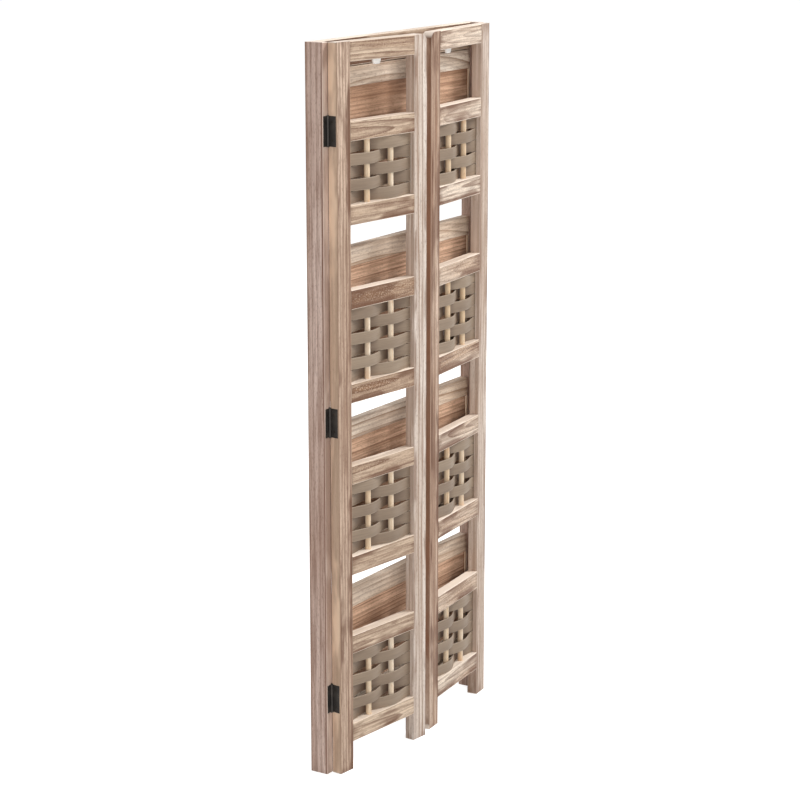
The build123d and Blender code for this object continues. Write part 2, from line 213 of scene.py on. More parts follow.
@dataclass(frozen=True)
class Flow:
    """A number, vector or colour that a socket gives out, with sums on it written as in plain Python."""

    sheet: NodeSheet
    socket: bpy.types.NodeSocket

    def maths(self, operation: str, *others: Input) -> "Flow":
        """Work out one number from this one and others."""
        made = self.sheet.node("ShaderNodeMath", self, *others, operation=operation)
        return Flow(self.sheet, made.outputs[0])

    def vector(self, operation: str, *others: Input) -> "Flow":
        """Work out one vector from this one and others, or one number for a dot product."""
        made = self.sheet.node("ShaderNodeVectorMath", self, *others, operation=operation)
        return Flow(self.sheet, made.outputs["Value" if operation == "DOT_PRODUCT" else "Vector"])

    def __add__(self, other: Input) -> "Flow":
        """Sum with another number."""
        return self.maths("ADD", other)

    def __sub__(self, other: Input) -> "Flow":
        """What is left after another number is taken off."""
        return self.maths("SUBTRACT", other)

    def __mul__(self, other: Input) -> "Flow":
        """Product with another number."""
        return self.maths("MULTIPLY", other)

    def __truediv__(self, other: Input) -> "Flow":
        """Quotient by another number."""
        return self.maths("DIVIDE", other)

    def between(self, low: float, high: float) -> "Flow":
        """Go from low to high as this number goes from 0 to 1."""
        return self.maths("MULTIPLY_ADD", high - low, low)

    def draw(self, rate: float) -> "Flow":
        """A number from 0 to 1 that belongs to this seed: the fraction of the seed times a rate."""
        return (self * rate).maths("FRACT")

    def rise(self, low: Input, high: Input) -> "Flow":
        """Rise smoothly from 0 at low to 1 at high."""
        made = self.sheet.node("ShaderNodeMapRange", self, low, high, interpolation_type="SMOOTHSTEP")
        return Flow(self.sheet, made.outputs[0])

    def fall(self, low: Input, high: Input) -> "Flow":
        """Fall smoothly from 1 at low to 0 at high."""
        return self.rise(low, high).between(1.0, 0.0)

    def parts(self) -> tuple["Flow", ...]:
        """Take a vector apart into its three numbers."""
        made = self.sheet.node("ShaderNodeSeparateXYZ", self)
        return tuple(Flow(self.sheet, socket) for socket in made.outputs)

    def moved(self, seed: "Flow", rates: Triple) -> "Flow":
        """Board place moved by the board's own seed, so that no two boards look alike."""
        return self.vector("ADD", self.sheet.join(*(seed * rate for rate in rates)))

    def noise(self, waves: Waves) -> "Flow":
        """Soft noise from 0 to 1 at this place; the node takes a vector, a time, a scale and the octaves."""
        values = (self.vector("MULTIPLY", waves.stretch), 0.0, 1.0, waves.detail)
        return Flow(self.sheet, self.sheet.node("ShaderNodeTexNoise", *values).outputs[0])

    def scatter(self) -> "Flow":
        """Even noise from 0 to 1 with no likeness from one number to the next; its vector has no use."""
        made = self.sheet.node("ShaderNodeTexWhiteNoise", X_AXIS, self, noise_dimensions="1D")
        return Flow(self.sheet, made.outputs["Value"])


class GroupSheet(NodeSheet):
    """A sheet for one node group, with its inputs in order."""

    def __init__(self, name: str, vectors: Sequence[str], numbers: Sequence[str] = ()) -> None:
        """Begin the group.

        Args:
            name: name of the group.
            vectors: names of the inputs that are vectors.
            numbers: names of the inputs that are numbers, which come after them.
        """
        super().__init__(bpy.data.node_groups.new(name, "ShaderNodeTree"))
        for label in (*vectors, *numbers):
            self.socket(label, "INPUT", "Vector" if label in vectors else "Float")
        entry = self.node("NodeGroupInput")
        self.given = [Flow(self, entry.outputs[label]) for label in (*vectors, *numbers)]

    def socket(self, label: str, way: str, kind: str) -> None:
        """Add one input or output to the group."""
        self.tree.interface.new_socket(name=label, in_out=way, socket_type=f"NodeSocket{kind}")

    def leave(self, kind: str = "Float", **values: Flow) -> bpy.types.NodeTree:
        """Give out values by name, which ends the group.

        Args:
            kind: what all of them are, numbers or vectors.
            values: the values.

        Returns:
            The finished group.
        """
        for label in values:
            self.socket(label, "OUTPUT", kind)
        leave = self.node("NodeGroupOutput")
        for label, value in values.items():
            self.feed(leave.inputs[label], value)
        return self.tree


class MaterialSheet(NodeSheet):
    """A sheet for one material with a Principled shader."""

    def __init__(self, name: str) -> None:
        """Begin the material.

        Args:
            name: name of the material.
        """
        self.material = bpy.data.materials.new(name)
        self.material.use_nodes = True
        super().__init__(self.material.node_tree)
        self.shader = self.tree.nodes["Principled BSDF"]

    def point(self) -> Flow:
        """Place on the piece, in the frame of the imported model."""
        return Flow(self, self.node("ShaderNodeTexCoord").outputs["Object"])

    def mark(self, name: str, kind: str = "Fac") -> Flow:
        """Mark that a worked-out piece carries on its vertices."""
        return Flow(self, self.node("ShaderNodeAttribute", attribute_name=name).outputs[kind])

    def shade(self, **values: Input) -> None:
        """Feed the shader's inputs, named with a low line for each space."""
        for key, value in values.items():
            self.feed(self.shader.inputs[key.replace("_", " ")], value)

    def bump(self, height: Flow, strength: float, distance: float) -> None:
        """Raise the surface by a height.

        Args:
            height: the height, about 0 to 1.
            strength: how much of it shows.
            distance: depth that a height of 1 stands for.
        """
        made = self.node("ShaderNodeBump", strength, distance)
        self.feed(made.inputs["Height"], height)
        self.shade(Normal=Flow(self, made.outputs["Normal"]))


BOARD_AXES = ("Along", "Across", "Through")
BOARD_STEPS = (3.1, 1.7, 2.3)


def board_axes() -> bpy.types.NodeTree:
    """Group for a place on a board: the point's distance from the board's middle along its three axes.

    Returns:
        The group.
    """
    sheet = GroupSheet("board_axes", ("Point", "Centre", *BOARD_AXES))
    point, centre, *axes = sheet.given
    away = point.vector("SUBTRACT", centre)
    return sheet.leave("Vector", Board=sheet.join(*(away.vector("DOT_PRODUCT", axis) for axis in axes)))


@dataclass(frozen=True)
class RingFigure:
    """Group for a sawn board's figure.

    Rings are circles about a pith that lies beside the board and leans along it. The distance from it,
    disturbed by slow and quick noise, is divided by the ring spacing: the fraction darkens towards the end of
    each ring. Fibres and pores are noise drawn out along the board. The rates draw each board's own numbers
    from its seed, and a pair holds the least and the most that such a number stands for.
    """

    slow: Waves = Waves((2.2, 16.0, 16.0), 2.0)
    quick: Waves = Waves((9.0, 90.0, 90.0), 3.0)
    fibre: Waves = Waves((13.0, 300.0, 300.0), 4.0)
    pores: Waves = Waves((150.0, 620.0, 620.0), 2.0)
    pore_edge: Pair = (0.54, 0.66)
    swing_rate: float = 0.731
    swing: Pair = (-0.015, 0.015)
    depth_rate: float = 0.417
    depth: Pair = (0.011, 0.027)
    lean_rate: float = 0.377
    lean: Pair = (0.25, 1.55)
    quick_share: float = 0.35
    late_wood: Pair = (0.20, 0.95)
    late_power: float = 2.0
    ring_close: Pair = (0.94, 1.0)
    ring_weight: Pair = (0.25, 1.0)
    tone_rate: float = 0.917
    tone: Pair = (0.2, 0.7)
    ring_tone: Pair = (-0.225, 0.225)
    slow_tone: float = 2.0
    quick_tone: float = 0.8

    def build(self) -> bpy.types.NodeTree:
        """Lay the group's nodes.

        Returns:
            The group.
        """
        sheet = GroupSheet("board_figure", ["Board"], ["Seed", "Spacing", "Pith", "Lean", "Wander"])
        board, seed, spacing, pith, lean, wander = sheet.given
        place = board.moved(seed, BOARD_STEPS)
        along, across, through = board.parts()
        slow = place.noise(self.slow) - 0.5
        quick = place.noise(self.quick) - 0.5
        beside = across + (pith + seed.draw(self.swing_rate).between(*self.swing))
        below = through + seed.draw(self.depth_rate).between(*self.depth)
        below = below + along * (lean * seed.draw(self.lean_rate).between(*self.lean))
        radius = (below * below + beside * beside).maths("SQRT")
        radius = radius + slow * wander + quick * (wander * self.quick_share)
        phase = radius / spacing
        share = phase.maths("FRACT")
        ring = share.rise(*self.late_wood).maths("POWER", self.late_power) * share.fall(*self.ring_close)
        number = (phase.maths("FLOOR") + seed).scatter()
        tone = seed.draw(self.tone_rate).between(*self.tone) + number.between(*self.ring_tone)
        tone = tone + slow * self.slow_tone + quick * self.quick_tone
        return sheet.leave(
            Ring=ring * number.between(*self.ring_weight),
            Tone=tone.maths("MAXIMUM", 0.0).maths("MINIMUM", 1.0),
            Fibre=place.noise(self.fibre),
            Pores=place.noise(self.pores).rise(*self.pore_edge),
        )


@dataclass(frozen=True)
class TorchBurn:
    """Group for torched edges.

    On a face of the board the distance to the nearest long edge is the larger of the two distances to the
    sides. The burn falls off over a reach that patchy noise widens and narrows, and also towards the ends.
    The sawn ends, with the rounded corners, have a mask of their own that stops at the broad faces. A pair
    of shares belongs to the places between the patches and to the patches.
    """

    patches: Waves = Waves((7.0, 24.0, 24.0), 3.0)
    patch_edge: Pair = (0.45, 0.60)
    side_reach: Pair = (0.2, 1.7)
    side_burn: Pair = (0.12, 1.0)
    end_reach: Pair = (0.4, 1.6)
    end_burn: Pair = (0.1, 0.7)
    edge_band: Pair = (0.0006, 0.0014)
    edge_share: Pair = (0.4, 1.0)
    tip_start: float = 0.4
    face_band: Pair = (0.0003, 0.0012)
    arris_wide: float = 0.0016

    def build(self) -> bpy.types.NodeTree:
        """Lay the group's nodes.

        Returns:
            The group.
        """
        sheet = GroupSheet("arris_burn", ["Board", "Half"], ["Seed", "Reach", "Ends", "Fade", "Tip"])
        board, half, seed, reach, ends, fade, tip = sheet.given
        to_end, to_side, to_face = half.vector("SUBTRACT", board.vector("ABSOLUTE")).parts()
        edge = to_side.maths("MAXIMUM", to_face)
        patch = board.moved(seed, BOARD_STEPS).noise(self.patches).rise(*self.patch_edge)
        side_burn = edge.fall(0.0, reach * patch.between(*self.side_reach)) * patch.between(*self.side_burn)
        end_burn = to_end.fall(0.0, ends * patch.between(*self.end_reach)) * patch.between(*self.end_burn)
        on_edge = to_side.fall(*self.edge_band) * to_end.rise(0.0, fade)
        return sheet.leave(
            Burn=side_burn.maths("MAXIMUM", end_burn),
            Arris=edge.fall(0.0, self.arris_wide),
            Edge=on_edge * patch.between(*self.edge_share),
            End=to_end.fall(tip * self.tip_start, tip) * to_face.rise(*self.face_band),
        )


@dataclass(frozen=True)
class Mottle:
    """Group for an even surface: broad patches and fine grit, each noise from 0 to 1."""

    patch: Waves = Waves((60.0, 60.0, 60.0), 3.0)
    grit: Waves = Waves((1400.0, 1400.0, 1400.0), 2.0)

    def build(self) -> bpy.types.NodeTree:
        """Lay the group's nodes.

        Returns:
            The group.
        """
        sheet = GroupSheet("mottle", ["Point"])
        point = sheet.given[0]
        return sheet.leave(Patch=point.noise(self.patch), Grit=point.noise(self.grit))


class GroupKit:
    """The node groups that the finishes share, each built once."""

    def __init__(self) -> None:
        """Build every group."""
        self.axes = board_axes()
        self.figure = RingFigure().build()
        self.burn = TorchBurn().build()
        self.mottle = Mottle().build()


@dataclass(frozen=True)
class BoardAxes:
    """Where a packed board lies: its middle, its three directions, its half sizes and its own seed.

    Two alike boards in one node are a pair: the middle is then halfway between them, and the spread is the
    distance from there to each one's own middle, through the boards.
    """

    centre: Triple
    along: Triple
    across: Triple
    through: Triple
    half: Triple
    seed: float
    spread: float = 0.0

    def read(self, sheet: MaterialSheet, groups: GroupKit) -> tuple[Input, Input, Input]:
        """Lay the nodes that find a place on the board.

        Args:
            sheet: sheet of the material.
            groups: the shared groups.

        Returns:
            Board place, half sizes and seed.
        """
        axes = dict(zip(BOARD_AXES, (self.along, self.across, self.through)))
        board = sheet.group(groups.axes, Point=sheet.point(), Centre=self.centre, **axes)["Board"]
        if self.spread > 0.0:
            along, across, through = board.parts()
            board = sheet.join(along, across, through.maths("ABSOLUTE") - self.spread)
        return board, self.half, self.seed


@dataclass(frozen=True)
class BoardMarks:
    """Reads the board place, half sizes and seed that a worked-out piece carries on its vertices."""

    def read(self, sheet: MaterialSheet, groups: GroupKit) -> tuple[Flow, Flow, Flow]:
        """Lay the nodes that read the marks, for which no group is needed."""
        return sheet.mark("board", "Vector"), sheet.mark("half", "Vector"), sheet.mark("seed")


GrainSource = Union[BoardAxes, BoardMarks]


@dataclass(frozen=True)
class TorchedWood:
    """Brushed and lightly torched wood: pale and deep body, ring lines, burnt edges."""

    name: str
    pale: Colour
    deep: Colour
    line: Colour
    burnt: Colour
    cut: Cut
    spacing: float
    ring_strength: float = 0.75
    burn_reach: float = 0.006
    burn_ends: float = 0.020
    burn_strength: float = 0.75
    edge: Colour = srgb(120, 84, 62)
    edge_share: float = 0.0
    edge_fade: float = 0.09
    end: Colour = srgb(240, 225, 211)
    end_share: float = 0.8
    end_reach: float = 0.0014
    # share of the pale colour on the eased arrises: partly wear, partly a painted highlight
    worn: float = 0.30
    arris_scorch: float = 0.0
    streak: float = 0.42
    streak_edge: Pair = (0.42, 0.62)
    pore_share: float = 0.30
    speckle: float = 0.0
    speckle_waves: Waves = Waves((330.0, 420.0, 420.0), 2.0)
    speckle_edge: Pair = (0.47, 0.64)
    roughness: Pair = (0.52, 0.74)
    specular: float = 0.30
    relief: float = 0.00035
    relief_strength: float = 0.55
    ring_relief: float = -0.45
    fibre_relief: float = 0.5
    pore_relief: float = -0.35

    def build(self, suffix: str, source: GrainSource, groups: GroupKit) -> bpy.types.Material:
        """Make the material for one board or one set of boards.

        Args:
            suffix: what the board is called.
            source: where the board place comes from.
            groups: the shared groups.

        Returns:
            The material.
        """
        sheet = MaterialSheet(f"{self.name}_{suffix}")
        board, half, seed = source.read(sheet, groups)
        rings = dict(zip(("Spacing", "Pith", "Lean", "Wander"), (self.spacing, *self.cut.value)))
        figure = sheet.group(groups.figure, Board=board, Seed=seed, **rings)
        burn = sheet.group(
            groups.burn,
            Board=board,
            Half=half,
            Seed=seed,
            Reach=self.burn_reach,
            Ends=self.burn_ends,
            Fade=self.edge_fade,
            Tip=self.end_reach,
        )
        fibre, arris = figure["Fibre"], burn["Arris"]
        colour = sheet.mix(figure["Tone"], self.pale, self.deep)
        layers = [(figure["Ring"] * self.ring_strength, self.line)]
        if self.speckle > 0.0:
            grit = board.noise(self.speckle_waves).rise(*self.speckle_edge)
            layers.append((grit * figure["Tone"] * self.speckle, self.pale))
        layers += [
            (fibre.rise(*self.streak_edge) * self.streak, self.line),
            (figure["Pores"] * self.pore_share, self.burnt),
            (burn["Burn"] * self.burn_strength, self.burnt),
            (burn["Edge"] * self.edge_share, self.edge),
            # partly wear, partly painted highlight on the eased arrises
            (arris * self.worn, self.pale),
            (arris * self.arris_scorch, self.burnt),
            (burn["End"] * self.end_share, self.end),
        ]
        for share, towards in layers:
            colour = sheet.mix(share, colour, towards)
        rough = fibre.between(*self.roughness)
        sheet.shade(Base_Color=colour, Roughness=rough, Specular_IOR_Level=self.specular)
        height = fibre * self.fibre_relief + figure["Ring"] * self.ring_relief
        height = height + figure["Pores"] * self.pore_relief
        sheet.bump(height, self.relief_strength, self.relief)
        return sheet.material


@dataclass(frozen=True)
class StripVeneer:
    """Smooth grey-brown strip, lighter at its edges, with painted shade on the inner face of each bend round
    a dowel.
    """

    name: str
    body: Colour
    shade: Colour
    edge: Colour
    # share of painted shade on the inner face of each bend, where the strip wraps a dowel
    stain: float = 0.85
    seed_steps: Triple = (1.0, 0.7, 1.0)
    patches: Waves = Waves((14.0, 60.0, 60.0), 2.0)
    patch_share: float = 0.4
    own_rate: float = 0.613
    own_share: float = 0.30
    fibres: Waves = Waves((18.0, 700.0, 700.0), 3.0)
    fibre_edge: Pair = (0.4, 0.68)
    fibre_share: float = 0.18
    edge_share: float = 0.45
    roughness: Pair = (0.38, 0.63)
    specular: float = 0.35
    relief: float = 0.00012
    relief_strength: float = 0.35

    def build(self, suffix: str, groups: GroupKit) -> bpy.types.Material:
        """Make the material for one woven square.

        Args:
            suffix: which square.
            groups: the shared groups.

        Returns:
            The material.
        """
        sheet = MaterialSheet(f"{self.name}_{suffix}")
        board, half, seed = BoardMarks().read(sheet, groups)
        arris = sheet.group(groups.burn, Board=board, Half=half, Seed=seed)["Arris"]
        moved = board.moved(seed, self.seed_steps)
        fibre = moved.noise(self.fibres)
        own = seed.draw(self.own_rate) * self.own_share + moved.noise(self.patches) * self.patch_share
        colour = sheet.mix(own, self.body, self.shade)
        colour = sheet.mix(fibre.rise(*self.fibre_edge) * self.fibre_share, colour, self.shade)
        # painted shade: the inner face of each bend is mixed towards the shade colour
        colour = sheet.mix(sheet.mark("shelter") * self.stain, colour, self.shade)
        colour = sheet.mix(arris * self.edge_share, colour, self.edge)
        rough = fibre.between(*self.roughness)
        sheet.shade(Base_Color=colour, Roughness=rough, Specular_IOR_Level=self.specular)
        sheet.bump(fibre, self.relief_strength, self.relief)
        return sheet.material


@dataclass(frozen=True)
class DarkBronze:
    """Dark bronzed steel with faint patches and brighter rubbed grit."""

    name: str
    body: Colour
    rubbed: Colour
    metallic: float
    roughness: float
    rough_swing: float = 0.25
    grit_edge: Pair = (0.52, 0.72)
    grit_share: float = 0.35
    patch_edge: Pair = (0.45, 0.70)
    patch_share: float = 0.40
    relief: float = 0.0001
    relief_strength: float = 0.25

    def build(self, groups: GroupKit) -> bpy.types.Material:
        """Make the material, which all pieces of the metal share.

        Args:
            groups: the shared groups.

        Returns:
            The material.
        """
        sheet = MaterialSheet(self.name)
        patch, grit = sheet.group(groups.mottle, Point=sheet.point()).values()
        rubbed = grit.rise(*self.grit_edge) * self.grit_share
        rubbed = rubbed.maths("MAXIMUM", patch.rise(*self.patch_edge) * self.patch_share)
        rough = patch.between(self.roughness, self.roughness + self.rough_swing)
        colour = sheet.mix(rubbed, self.body, self.rubbed)
        sheet.shade(Base_Color=colour, Metallic=self.metallic, Roughness=rough)
        sheet.bump(grit, self.relief_strength, self.relief)
        return sheet.material


@dataclass(frozen=True)
class PalePlastic:
    """Warm white moulded plastic with a fine texture."""

    name: str
    body: Colour
    shade: Colour
    shade_share: float = 0.5
    roughness: Pair = (0.4, 0.6)
    relief: float = 0.0001
    relief_strength: float = 0.2

    def build(self, groups: GroupKit) -> bpy.types.Material:
        """Make the material, which both pads share.

        Args:
            groups: the shared groups.

        Returns:
            The material.
        """
        sheet = MaterialSheet(self.name)
        patch, grit = sheet.group(groups.mottle, Point=sheet.point()).values()
        colour = sheet.mix(patch * self.shade_share, self.body, self.shade)
        sheet.shade(Base_Color=colour, Roughness=grit.between(*self.roughness))
        sheet.bump(grit, self.relief_strength, self.relief)
        return sheet.material


POST_WOOD = TorchedWood(
    name="post_wood",
    pale=srgb(221, 196, 183),
    deep=srgb(178, 146, 129),
    line=srgb(120, 84, 66),
    burnt=srgb(104, 70, 52),
    cut=Cut.STRAIGHT,
    spacing=0.0105,
    ring_strength=0.90,
    burn_reach=0.004,
    burn_strength=0.6,
    edge=srgb(232, 210, 194),
    edge_share=0.7,
    edge_fade=0.002,
)
STILE_WOOD = TorchedWood(
    name="stile_wood",
    pale=srgb(212, 187, 166),
    deep=srgb(142, 109, 86),
    line=srgb(96, 63, 44),
    burnt=srgb(100, 67, 48),
    cut=Cut.STRAIGHT,
    spacing=0.0074,
    ring_strength=0.90,
    burn_reach=0.017,
    burn_strength=0.95,
    edge=srgb(234, 203, 175),
    edge_share=1.0,
    edge_fade=0.002,
    worn=0.0,
    arris_scorch=0.65,
)
# Right wing's free stile: its pale end colour reaches down the rounded top corner as a painted highlight, and
# the scorched edge colour fades out near the ends.
SCORCHED_STILE_WOOD = replace(
    STILE_WOOD,
    name="scorched_stile_wood",
    pale=srgb(222, 199, 179),
    deep=srgb(156, 122, 98),
    edge=srgb(142, 103, 80),
    edge_fade=0.09,
    # painted highlight: the pale end colour reaches 11 mm from the top over the rounded corner
    end_reach=0.011,
    worn=0.55,
    arris_scorch=0.0,
)
PALE_STILE_WOOD = TorchedWood(
    name="pale_stile_wood",
    pale=srgb(225, 213, 202),
    deep=srgb(194, 175, 159),
    line=srgb(134, 100, 77),
    burnt=srgb(116, 82, 60),
    cut=Cut.SWEPT,
    spacing=0.0080,
    ring_strength=0.70,
    burn_reach=0.007,
    burn_strength=0.8,
    edge=srgb(206, 184, 168),
    edge_share=0.5,
)
RAIL_WOOD = TorchedWood(
    name="rail_wood",
    pale=srgb(218, 196, 172),
    deep=srgb(140, 105, 78),
    line=srgb(98, 64, 44),
    burnt=srgb(100, 65, 45),
    cut=Cut.ARCHED,
    spacing=0.0068,
    ring_strength=0.80,
    burn_reach=0.013,
    burn_ends=0.016,
    burn_strength=0.9,
    edge=srgb(240, 224, 208),
    edge_share=1.5,
    edge_fade=0.002,
    worn=0.45,
    speckle=0.6,
)
PALE_RAIL_WOOD = replace(
    RAIL_WOOD,
    name="pale_rail_wood",
    pale=srgb(236, 220, 202),
    deep=srgb(190, 160, 134),
)
LEDGE_WOOD = TorchedWood(
    name="ledge_wood",
    pale=srgb(244, 230, 213),
    deep=srgb(220, 196, 172),
    line=srgb(140, 103, 76),
    burnt=srgb(124, 86, 60),
    cut=Cut.SWEEPING,
    spacing=0.0090,
    burn_reach=0.004,
    burn_ends=0.010,
    burn_strength=0.5,
    streak=0.30,
)
# Shelf end rails: the narrow front and back faces are painted near white as painted light, so that they read
# as lit where they sit in shade; the dark body on the inner sides is partly scorch and partly painted shade.
END_RAIL_WOOD = replace(
    LEDGE_WOOD,
    name="end_rail_wood",
    pale=srgb(136, 100, 76),
    deep=srgb(104, 72, 52),
    edge=srgb(255, 230, 200),
    edge_share=1.8,
    edge_fade=0.002,
    worn=0.0,
)
SHELF_WOOD = TorchedWood(
    name="shelf_wood",
    pale=srgb(232, 193, 163),
    deep=srgb(180, 139, 110),
    line=srgb(130, 92, 69),
    burnt=srgb(104, 70, 50),
    cut=Cut.STREAKED,
    spacing=0.0070,
    burn_reach=0.004,
    streak=0.45,
)
DOWEL_WOOD = TorchedWood(
    name="dowel_wood",
    pale=srgb(238, 224, 204),
    deep=srgb(220, 194, 160),
    line=srgb(206, 174, 138),
    burnt=srgb(194, 144, 98),
    cut=Cut.STRAIGHT,
    spacing=0.0060,
    ring_strength=0.45,
    burn_reach=0.001,
    burn_ends=0.024,
    burn_strength=0.7,
    worn=0.0,
    relief=0.00012,
)
STRIP_VENEER = StripVeneer(
    name="strip_veneer",
    body=srgb(156, 138, 118),
    # darker tone of the strips, also the colour of the painted shade in the bends
    shade=srgb(98, 78, 64),
    edge=srgb(182, 165, 145),
)
HINGE_BRONZE = DarkBronze(
    name="hinge_bronze", body=srgb(56, 52, 49), rubbed=srgb(86, 79, 72), metallic=0.55, roughness=0.40
)
PIN_BRONZE = DarkBronze(
    name="pin_bronze", body=srgb(64, 58, 53), rubbed=srgb(120, 110, 100), metallic=0.75, roughness=0.32
)
SHELF_BRONZE = DarkBronze(
    name="shelf_bronze", body=srgb(112, 94, 76), rubbed=srgb(150, 130, 106), metallic=0.35, roughness=0.45
)
PAD_PLASTIC = PalePlastic(name="pad_plastic", body=srgb(254, 253, 250), shade=srgb(244, 241, 235))
STILE_WOODS: dict[tuple[Side, bool], TorchedWood] = {
    (Side.LEFT, True): STILE_WOOD,
    (Side.LEFT, False): PALE_STILE_WOOD,
    (Side.RIGHT, True): PALE_STILE_WOOD,
    (Side.RIGHT, False): SCORCHED_STILE_WOOD,
}
RAIL_WOODS: dict[Side, TorchedWood] = {Side.LEFT: RAIL_WOOD, Side.RIGHT: PALE_RAIL_WOOD}


@dataclass
class Surface:
    """A closed tube of points on a grid, with the marks that its finish reads."""

    points: np.ndarray
    board: np.ndarray
    half: Triple
    seed: float
    # painted shade on the inner faces of a strip's bends; nought on every other piece
    shelter: float | np.ndarray = 0.0

    @property
    def grid(self) -> tuple[int, int]:
        """Sections along the tube and points round each."""
        return self.points.shape[:2]

    def faces(self, first: int) -> list[list[int]]:
        """Faces of the tube, pointing outwards and closed by a flat cap at each end.

        The four corners of a wall face are a point, the next one round, and the same two on the next section.

        Args:
            first: number of the tube's first vertex.

        Returns:
            Vertex numbers of each face, walls first and then the two caps.
        """
        sections, around = self.grid
        row, column = np.meshgrid(np.arange(sections - 1), np.arange(around), indexing="ij")
        after = (column + 1) % around
        corners = [row * around + column, row * around + after]
        corners += [(row + 1) * around + after, (row + 1) * around + column]
        walls = np.stack(corners, axis=-1).reshape(-1, 4) + first
        start = np.arange(around)[::-1] + first
        end = np.arange(around) + first + (sections - 1) * around
        faces = walls.tolist() + [start.tolist(), end.tolist()]
        return faces if self.volume_sign() > 0.0 else [face[::-1] for face in faces]

    def volume_sign(self) -> float:
        """Tell whether the faces as first numbered point outwards.

        The sum over the wall of each point, from its section's middle, times the cross product of its two
        grid steps has the sign of the enclosed volume.

        Returns:
            A number above 0 where they do.
        """
        round_step = np.roll(self.points, -1, axis=1) - self.points
        along_step = np.diff(self.points, axis=0)
        normal = np.cross(round_step[:-1], along_step)
        centre = self.points.mean(axis=1, keepdims=True)
        return float(np.sum((self.points - centre)[:-1] * normal))


def add_object(name: str, data: bpy.types.ID) -> bpy.types.Object:
    """Put a new object into the scene, at the origin.

    Args:
        name: name of the object.
        data: its mesh, light or camera.

    Returns:
        The new object.
    """
    made = bpy.data.objects.new(name, data)
    bpy.context.scene.collection.objects.link(made)
    return made


def mesh_piece(name: str, surfaces: Sequence[Surface], smooth: bool) -> bpy.types.Object:
    """Make one object from tubes and write their marks on its vertices.

    Args:
        name: name of the piece.
        surfaces: the tubes.
        smooth: whether the walls are shaded smooth.

    Returns:
        The new object, at the origin.
    """
    counts = [math.prod(surface.grid) for surface in surfaces]
    firsts = np.cumsum([0] + counts[:-1]).tolist()
    faces = [face for surface, first in zip(surfaces, firsts) for face in surface.faces(first)]
    points = np.concatenate([surface.points.reshape(-1, 3) for surface in surfaces])
    mesh = bpy.data.meshes.new(name)
    mesh.from_pydata(points.tolist(), [], faces)
    mesh.polygons.foreach_set("use_smooth", [smooth and len(face) == 4 for face in faces])
    marks = {
        "board": np.concatenate([surface.board.reshape(-1, 3) for surface in surfaces]),
        "half": np.repeat([surface.half for surface in surfaces], counts, axis=0),
        "seed": np.repeat([surface.seed for surface in surfaces], counts),
        "shelter": np.concatenate([np.broadcast_to(one.shelter, one.grid).ravel() for one in surfaces]),
    }
    for label, values in marks.items():
        kind, key = ("FLOAT_VECTOR", "vector") if values.ndim == 2 else ("FLOAT", "value")
        mesh.attributes.new(label, kind, "POINT").data.foreach_set(key, values.astype(np.float32).ravel())
    mesh.update()
    return add_object(name, mesh)


def rounded_rectangle(width: np.ndarray, thick: np.ndarray, ease: np.ndarray, steps: int) -> np.ndarray:
    """Outline of a rectangle whose corners are quarter circles, at each of many sections.

    A corner's point is the centre of its quarter circle plus the radius times the cosine and sine of an angle
    that runs through that quarter.

    Args:
        width: width at each section.
        thick: thickness at each section.
        ease: corner radius at each section.
        steps: points on each quarter circle.

    Returns:
        Array of sections by points round by two.
    """
    quarter = np.linspace(0.0, QUARTER_TURN, steps)
    angle = np.concatenate([quarter + turn * QUARTER_TURN for turn in range(4)])
    sign_w = np.repeat([1.0, -1.0, -1.0, 1.0], steps)
    sign_t = np.repeat([1.0, 1.0, -1.0, -1.0], steps)
    w = sign_w * (width / 2.0 - ease)[:, None] + ease[:, None] * np.cos(angle)
    t = sign_t * (thick / 2.0 - ease)[:, None] + ease[:, None] * np.sin(angle)
    return np.stack([w, t], axis=-1)


@dataclass(frozen=True)
class BoardShape:
    """A sawn board with eased edges that were brushed a little unevenly."""

    length: float
    width: float
    thick: float
    ease: float = 0.0012
    end_share: float = 0.6
    swell: float = 0.30
    swell_rates: Triple = (23.0, 61.0, 140.0)
    sections: int = 40
    steps: int = 4

    def local(self, rng: np.random.Generator) -> np.ndarray:
        """Points of the board about its middle: along, across and through.

        The outline is a rounded rectangle. Its corner radius swells and shrinks along the board as a sum of
        three sines with seeded phases, and the last sections draw in over a quarter circle to ease the ends.

        Args:
            rng: source of the phases.

        Returns:
            Array of sections by points round by three.
        """
        end = np.linspace(0.0, QUARTER_TURN, self.steps)
        inset = self.ease * self.end_share
        reach = self.length / 2.0
        low = -reach + inset * (1.0 - np.sin(end))
        middle = np.linspace(-reach + inset, reach - inset, self.sections)[1:-1]
        along = np.concatenate([low, middle, -low[::-1]])
        draw_in = inset * (1.0 - np.cos(end))
        shrink = np.concatenate([draw_in[::-1], 0.0 * middle, draw_in])
        phases = rng.uniform(0.0, FULL_TURN, len(self.swell_rates))
        waves = sum(np.sin(along * rate + phase) for rate, phase in zip(self.swell_rates, phases))
        ease = self.ease * (1.0 + self.swell * waves / len(self.swell_rates))
        outline = rounded_rectangle(self.width - 2.0 * shrink, self.thick - 2.0 * shrink, ease, self.steps)
        spread = np.broadcast_to(along[:, None, None], outline.shape[:2] + (1,))
        return np.concatenate([spread, outline], axis=-1)

    @property
    def half(self) -> Triple:
        """Half of the board's length, width and thickness."""
        return (self.length / 2.0, self.width / 2.0, self.thick / 2.0)


def dress(node: str, material: bpy.types.Material) -> None:
    """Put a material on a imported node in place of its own.

    Args:
        node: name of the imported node.
        material: its new finish.
    """
    target = frame["nodes"][node]
    for slot in target.material_slots:
        slot.link = "OBJECT"
        slot.material = material
    LOG.info("%s is finished in %s", node, material.name)


